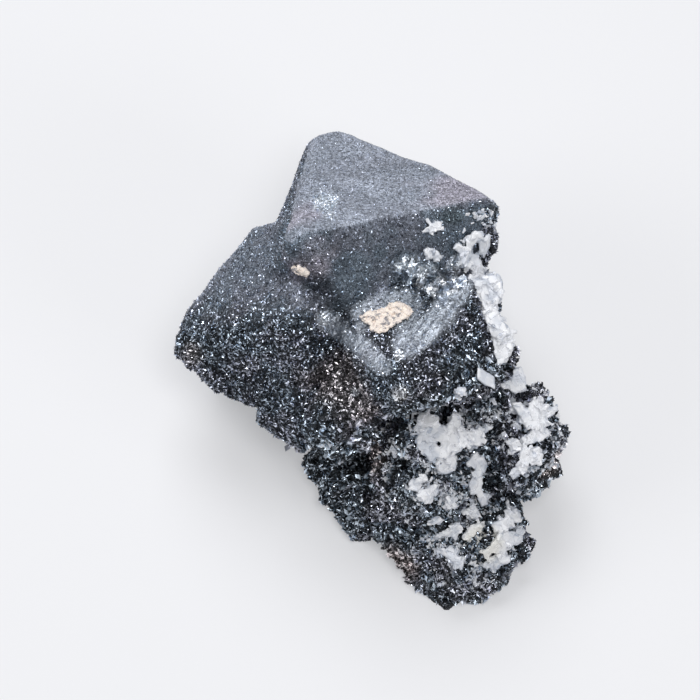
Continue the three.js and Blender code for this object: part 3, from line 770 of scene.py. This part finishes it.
# density is in crystals a square millimetre and sizes are in millimetres. Length, width and thickness are
# shares of the size. Upright and kinship weigh the skin's normal and a family's shared direction against
# a random one. Glint times a number drawn from spread brightens the tone, and lift is a share of the size
# by which the middle stands above the skin.
DRUSES = {
    "druse_fine": dict(
        density=24 * (fine_share * (0.6 + 0.4 * zone["upward"]) + calm_share * coarse_share),
        sizes=(0.1, 0.2), length=(0.8, 1.3), width=(0.7, 1.1), thickness=0.5,
        upright=0.9, kinship=0.0, glint=1.0, spread=(0.55, 1.4), lift=0.05, form=WEDGE, finish=felted),
    "druse_front": dict(
        density=17 * fine_share * np.maximum(1 - zone["upward"], zone["left"]),
        sizes=(0.15, 0.34), length=(0.9, 1.5), width=(0.5, 0.9), thickness=0.3,
        upright=0.7, kinship=0.6, glint=1.65, spread=(0.12, 2.6), lift=0.06, form=WEDGE, finish=satin),
    "druse_glints": dict(
        density=4 * fine_share,
        sizes=(0.1, 0.22), length=(0.9, 1.4), width=(0.5, 0.8), thickness=0.3,
        upright=0.8, kinship=0.0, glint=1.3, spread=(0.6, 1.6), lift=0.05, form=WEDGE, finish=glittering),
    "druse_sparkle": dict(
        density=24 * zone["sparkle"],
        sizes=(0.14, 0.42), length=(0.9, 1.6), width=(0.5, 0.9), thickness=0.14,
        upright=1.3, kinship=0.6, glint=2.2, spread=(0.5, 1.6), lift=0.1, form=OCTAHEDRON, finish=satin),
    "druse_sheets": dict(
        density=7 * zone["sheets"],
        sizes=(0.4, 1.1), length=(0.8, 1.5), width=(0.5, 1.0), thickness=0.1,
        upright=1.6, kinship=0.7, glint=1.2, spread=(0.5, 1.5), lift=0.04, form=OCTAHEDRON, finish=satin),
    "druse_flakes": dict(
        density=1.1 * zone["broken"] * gritty,
        sizes=(0.5, 1.0), length=(0.9, 1.5), width=(0.5, 0.9), thickness=0.1,
        upright=0.9, kinship=0.9, glint=2.8, spread=(0.5, 1.6), lift=0.08, form=OCTAHEDRON, finish=satin),
    "druse_blades": dict(
        density=9 * gritty,
        sizes=(0.28, 0.54), length=(1.0, 1.6), width=(0.38, 0.62), thickness=0.14,
        upright=0.75, kinship=0.8, glint=1.8, spread=(0.25, 2.5), lift=0.08, form=OCTAHEDRON, finish=satin),
    "druse_plates": dict(
        density=9 * gritty,
        sizes=(0.18, 0.38), length=(0.9, 1.5), width=(0.5, 0.9), thickness=0.2,
        upright=0.6, kinship=0.6, glint=1.8, spread=(0.3, 2.4), lift=0.06, form=OCTAHEDRON,
        finish=glittering),
    "druse_dust": dict(
        density=4 * gritty * seen_share,
        sizes=(0.1, 0.22), length=(0.8, 1.3), width=(0.7, 1.0), thickness=0.5,
        upright=0.9, kinship=0.3, glint=1.6, spread=(0.4, 2.0), lift=0.05, form=WEDGE, finish=satin),
}
print("kinds of crystal:", ", ".join(DRUSES))

# %% Grow the druse: fine above, blades and plates below, dust between
DRUSE_SEED = 100
FAMILY_SEED = 60
FAMILY_SIZE = 0.9    # millimetres of skin on which neighbours share a direction
BRIGHTEST = 0.97


def grow_druse(name, seed, density, sizes, length, width, thickness, upright, kinship, glint, spread, lift,
               form, finish):
    """One kind of crystal over the whole skin. Its axis is a weighted sum of the skin's normal, its
    family's direction and a random one. Its tone is that of the place, brightened but kept in hue."""
    rng = np.random.default_rng(seed)
    spots, ways = scattered(skin, density * off_the_cut, rng)
    count = len(spots)
    own = to_specimen(spots)
    families = nearest_grain(own, FAMILY_SIZE, FAMILY_SEED)[1]
    wild = rng.normal(size=spots.shape)
    axes = unit(upright * ways + kinship * grain_tilt(families, FAMILY_SEED + 1) + unit(wild))
    size = rng.uniform(*sizes, count)
    shape = [rng.uniform(*length, count), rng.uniform(*width, count), np.full(count, thickness)]
    bright = spread[0] * (spread[1] / spread[0]) ** rng.random(count)
    bright = bright * (0.75 + 0.5 * cell_random(families, FAMILY_SEED + 2) * (kinship > 0))
    tones = hematite_tones(own, zones(own, turn_to_specimen(ways))) * (glint * bright)[:, None]
    tones = tones / np.maximum(tones.max(1) / BRIGHTEST, 1)[:, None]
    middles = spots + ways * (lift * size)[:, None] * MM
    stretch = size[:, None] / 2 * MM * np.stack(shape, -1)
    druse(name, middles, frames_about(axes, rng), stretch, tones, form, finish)


for number, (name, kind) in enumerate(DRUSES.items()):
    grow_druse(name, DRUSE_SEED + number, **kind)

# %% [markdown]
# ## White crystals
# The second mineral is milky and lets light a little way in. Its crystals are plates and blunt rhombs
# that grew into each other, with ragged, etched outlines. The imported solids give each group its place
# and size, but joining more crystals to them one by one would leave seams. So most copies get a few
# splinters on their outside, one net is laid over the lot so that they are a single surface, and the net
# is chipped by packed, tilted planes as the hematite's is.

# %% Splinters: small leaning tablets
BLOCK_CORNERS = np.array([[x, y, z] for z in (-1, 1) for y in (-1, 1) for x in (-1, 1)], float)
BLOCK_FACES = np.array([[0, 2, 3, 1], [4, 5, 7, 6], [0, 1, 5, 4], [2, 6, 7, 3], [0, 4, 6, 2], [1, 3, 7, 5]])


def splinters(mesh, density, sizes, rng):
    """Small leaning tablets set into a mesh: block corners, skewed, stretched, turned and moved. The
    density in a square millimetre is one number, or one for each vertex."""
    spots, ways = scattered(mesh, np.broadcast_to(density, len(mesh.vertices)), rng)
    count = len(spots)
    wild = rng.normal(size=(count, 3))
    axes = unit(0.4 * ways + unit(wild))
    size = rng.uniform(*sizes, count)
    shape = [np.ones(count), rng.uniform(0.5, 0.9, count), rng.uniform(0.22, 0.5, count)]
    stretch = size[:, None] / 2 * MM * np.stack(shape, -1)
    skewed = BLOCK_CORNERS.copy()
    skewed[:, 0] += 0.35 * skewed[:, 1]
    corners = np.einsum("nij,kj,nj->nki", frames_about(axes, rng), skewed, stretch) + spots[:, None]
    faces = BLOCK_FACES + len(BLOCK_CORNERS) * np.arange(count)[:, None, None]
    result = bpy.data.meshes.new("splinters")
    result.from_pydata(corners.reshape(-1, 3).tolist(), [], faces.reshape(-1, 4).tolist())
    return result


print("a tablet has", len(BLOCK_CORNERS), "corners and", len(BLOCK_FACES), "faces")

# %% Milky finish and its tones
DUST_GREY = (0.25, 0.26, 0.29, 1)
CLEAREST = np.array([0.46, 0.51, 0.6])
WHITEST = np.array([0.92, 0.93, 0.965])
CREAMY = np.array([0.9, 0.88, 0.82])
CREAMY_PLACE = np.array([15.2, -22.3])


def white_finish():
    """Milky crystal: its stored tone, satin, light travels a little way in, with specks of grey dust."""
    bench = Bench("milky_crystal")
    dust = bench.noise(0.3, 2.0, 0.65).between(0.67, 0.72)
    return bench.finish({
        "Base Color": bench.mix(dust * 0.5, bench.stored_tone(), DUST_GREY),
        "Roughness": 0.3,
        "IOR": 1.53,
        "Subsurface Weight": 0.2,
        "Subsurface Radius": (1.0, 1.0, 1.0),
        "Subsurface Scale": 0.0003,
        "Transmission Weight": 0.12,
        "Normal": bench.bump(bench.noise(0.3, 2.0), 0.02),
    })


def white_tones(points, milk_and_shade):
    """From the clearest tone to the whitest by milk, 0 to 1. Clearer parts are greyer, as the dark ground
    shows through them. One patch near the foot is drawn towards cream."""
    tones = CLEAREST + (WHITEST - CLEAREST) * np.clip(milk_and_shade, 0, 1)[:, None]
    near_foot = 1 - smooth_step(np.linalg.norm(points[:, :2] - CREAMY_PLACE, axis=1), 1.6, 3.0)
    return toward(tones, CREAMY, 0.8 * near_foot)


milky = white_finish()
print("whites go from", CLEAREST, "to", WHITEST)

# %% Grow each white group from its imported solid
WHITE_SEED = 200
WHITE_NET = 0.08
WHITE_GRAIN = 0.8
# how strongly the outline is scalloped, and how many splinters grow on a square millimetre
RAGGED = {"white_rhomb_right": 0.15, "white_shield_centre": 0.3, "white_ridge_right": 0.8}
RAGGED_ELSEWHERE = 0.45
SPLINTERED = {
    "white_rhomb_right": 0,
    "white_shield_centre": 0,
    "white_plates_shoulder": 0,
    "white_ridge_right": 0.25,
}
SPLINTERED_ELSEWHERE = 0.6
SPLINTER_SIZES = (0.5, 1.3)


def grown_white(node, seed):
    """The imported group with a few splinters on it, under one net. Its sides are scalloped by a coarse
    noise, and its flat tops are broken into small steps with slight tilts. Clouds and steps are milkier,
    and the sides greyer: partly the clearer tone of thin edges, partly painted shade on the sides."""
    rng = np.random.default_rng(seed)
    ragged = RAGGED.get(node, RAGGED_ELSEWHERE)
    solid = merged_copy(node)
    density = SPLINTERED.get(node, SPLINTERED_ELSEWHERE)
    net = remeshed([solid, splinters(solid, density, SPLINTER_SIZES, rng)], WHITE_NET)
    points = to_specimen(read_points(net))
    normals = turn_to_specimen(read_normals(net))
    away, owner = nearest_grain(points, WHITE_GRAIN, seed)
    planes = np.einsum("ij,ij->i", away, grain_tilt(owner, seed)) * 0.32
    steps = planes + 0.14 * (cell_random(owner, seed) - 0.5)
    side = 1 - smooth_step(normals[:, 2], 0.3, 0.8)
    scallops = 0.4 * (layered_noise(points, 0.8, 2, seed) - 0.5) * side
    etch = 0.05 * (layered_noise(points, 0.35, 2, seed + 1) - 0.5)
    height = min(1, 2 * ragged) * steps + ragged * scallops + etch
    write_points(net, to_frame(points + normals * height[:, None]))
    clouds = smooth_step(layered_noise(points, 1.5, 3, 65), 0.36, 0.62)
    # the sides are made greyer: the clearer tone of thin edges, and painted shade on the sides
    milk_and_shade = 0.45 + 0.5 * clouds + 0.4 * cell_random(owner, 66) - 0.45 * side
    write_tones(net, white_tones(points, milk_and_shade))
    return net


white_nodes = sorted(name for name in NODES if name.startswith("white"))
total = 0
for number, node in enumerate(white_nodes):
    mesh = grown_white(node, WHITE_SEED + number)
    piece = finished_piece(node + "_crystals", mesh, milky)
    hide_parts(node)
    total += 2 * len(mesh.polygons)
print(len(white_nodes), "white groups,", total, "triangles")

# %% Sprinkle tiny white crystals between the groups
SPRINKLE_SEED = 300
SPRINKLE_DENSITY = 7    # in a square millimetre
SPRINKLE_SIZES = (0.16, 0.62)
# a place along the specimen's axes and its reach in millimetres
SPRINKLED = {
    "below the front crystal": [[11, -12, -10], 9.5],
    "right lobe": [[20, -10, -13], 7.0],
    "foot": [[13, -22, -15], 6.5],
    "beside the ledge": [[0, -10.5, -9], 4.5],
    "right edge of the tall crystal": [[15.6, 13.0, -8], 4.0],
}
rng = np.random.default_rng(SPRINKLE_SEED)
ground = to_specimen(read_points(skin))
near_whites = np.zeros(len(ground))
for place, reach in SPRINKLED.values():
    far = np.linalg.norm(ground - np.array(place), axis=1) / reach
    near_whites = np.maximum(near_whites, 1 - smooth_step(far, 0.6, 1.0))
patches = smooth_step(layered_noise(ground, 1.3, 2, 63), 0.48, 0.62)
density = SPRINKLE_DENSITY * near_whites * patches * off_the_cut
sprinkle = splinters(skin, density, SPRINKLE_SIZES, rng)
tablets = len(sprinkle.polygons) // len(BLOCK_FACES)
milk_and_shade = np.repeat(rng.uniform(0.15, 1, tablets), len(BLOCK_CORNERS))
write_tones(sprinkle, white_tones(to_specimen(read_points(sprinkle)), milk_and_shade))
bake_cells(sprinkle, tablets, BLOCK_FACES.size)
finished_piece("white_sprinkle", sprinkle, milky)
print("white sprinkle:", tablets, "crystals")

# %% [markdown]
# ## Cream crust
# A thin granular crust lies on the step of the front crystal, and a chip of it sits between the two
# upper crystals. It is matt and crumbly, with the dark skin showing through its holes. Real holes would
# need a far finer net, so the net is only crumbled and the holes are grey patches in the finish.

# %% The crust and the chip
CREAM = (0.92, 0.84, 0.75, 1)
PINKISH_CREAM = (0.78, 0.69, 0.64, 1)
HOLE_GREY = (0.22, 0.22, 0.25, 1)
CRUMB_SIZE = 0.35
CREAM_GRAIN = 0.22
# how far each piece is sunk before its lumps are added, as a share of their height
SUNK = {"cream_crust": 0.6, "cream_speck": 0.1}


def crust_finish():
    """Matt cream with grey holes and veins and a few pinker grains."""
    bench = Bench("cream_crust_grains")
    holes = bench.noise(0.9, 4.0, 0.75).between(0.53, 0.6)
    grain = bench.cells(CREAM_GRAIN)
    cream = bench.mix(grain, CREAM, PINKISH_CREAM)
    return bench.finish({
        "Base Color": bench.mix(holes * 0.85, cream, HOLE_GREY),
        "Roughness": 0.85,
        "Normal": bench.bump(bench.noise(0.25, 4.0), 0.1),
    })


crumbly = crust_finish()
for number, (node, sunk) in enumerate(SUNK.items()):
    net = remeshed([merged_copy(node)], WHITE_NET)
    points = to_specimen(read_points(net))
    normals = turn_to_specimen(read_normals(net))
    away, owner = nearest_grain(points, CRUMB_SIZE, 75)
    crumbs = 0.3 * (cell_random(owner, 76) - 0.5) + np.einsum("ij,ij->i", away, grain_tilt(owner, 77)) * 0.4
    lift = 0.5 * (layered_noise(points, 0.9, 3, 70 + number) - sunk)
    write_points(net, to_frame(points + normals * (lift + crumbs)[:, None]))
    piece = finished_piece(node + "_grains", net, crumbly)
    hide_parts(node)
    print(node, len(net.polygons), "squares")

# %% [markdown]
# ## Floor and light
# The specimen lies on a plain pale floor, which also glows evenly, so that it stays pale at low angles.
# Hematite is a metal, so it shows what is around it. A picture of a sky could light it, but four square
# lamps are easier to steer: a large one beyond the top of the picture lights the upper faces, one near
# the camera makes the crystals facing it glint, and two weaker ones keep the sides from going black.

# %% The floor
FLOOR_SIDE = 2.0


def floor_finish():
    """Plain pale paper, with an even glow of its own so that it stays pale away from the lamps."""
    bench = Bench("pale_floor")
    return bench.finish({
        "Base Color": (0.5, 0.5, 0.51, 1),
        "Roughness": 0.9,
        "Emission Color": (0.96, 0.97, 1.0, 1),
        "Emission Strength": 0.32,
    })


floor_mesh = bpy.data.meshes.new("floor")
half = FLOOR_SIDE / 2
floor_corners = [(-half, -half, 0), (half, -half, 0), (half, half, 0), (-half, half, 0)]
floor_mesh.from_pydata(floor_corners, [], [(0, 1, 2, 3)])
floor = bpy.data.objects.new("floor", floor_mesh)
bpy.context.scene.collection.objects.link(floor)
floor_mesh.materials.append(floor_finish())
print("floor of", FLOOR_SIDE, "m")

# %% The lamps
LIT_PLACE = (3, -3, -10)    # the middle of the specimen, inside it


def soft_lamp(name, place, side, watts, colour):
    """A square lamp at a place along the specimen's axes, aimed at its middle. Place and side are in
    millimetres."""
    lamp = bpy.data.objects.new(name, bpy.data.lights.new(name, "AREA"))
    lamp.data.shape = "SQUARE"
    lamp.data.size = side * MM
    lamp.data.energy = watts
    lamp.data.color = colour
    lamp.location = to_frame([place])[0]
    aim = Vector(to_frame([LIT_PLACE])[0]) - lamp.location
    lamp.rotation_euler = aim.to_track_quat("-Z", "Y").to_euler()
    bpy.context.scene.collection.objects.link(lamp)
    print(name, "at", place, "mm,", watts, "W")


soft_lamp("lamp_top", (-60, 420, 260), 300, 1.6, (0.97, 0.98, 1.0))
soft_lamp("lamp_front", (60, 60, 520), 220, 1.3, (1.0, 1.0, 1.0))
soft_lamp("lamp_left", (-430, 60, 260), 260, 0.7, (1.0, 1.0, 1.0))
soft_lamp("lamp_right", (400, -160, 300), 240, 0.6, (1.0, 1.0, 1.0))

# %% The room around them
ROOM_TINT = (0.93, 0.95, 1.0, 1)
ROOM_LIGHT = 0.1    # how much the room lights the specimen
ROOM_PALE = 0.85    # how pale it looks behind it

room = bpy.data.worlds.new("room")
room.use_nodes = True
sky = room.node_tree.nodes["Background"]
sky.inputs["Color"].default_value = ROOM_TINT
seen = room.node_tree.nodes.new("ShaderNodeLightPath").outputs["Is Camera Ray"]
strength = room.node_tree.nodes.new("ShaderNodeMapRange")
strength.inputs["To Min"].default_value = ROOM_LIGHT
strength.inputs["To Max"].default_value = ROOM_PALE
room.node_tree.links.new(seen, strength.inputs["Value"])
room.node_tree.links.new(strength.outputs["Result"], sky.inputs["Strength"])
bpy.context.scene.world = room
bpy.context.scene.view_settings.view_transform = "Standard"
print("the room lights at", ROOM_LIGHT, "and looks", ROOM_PALE)
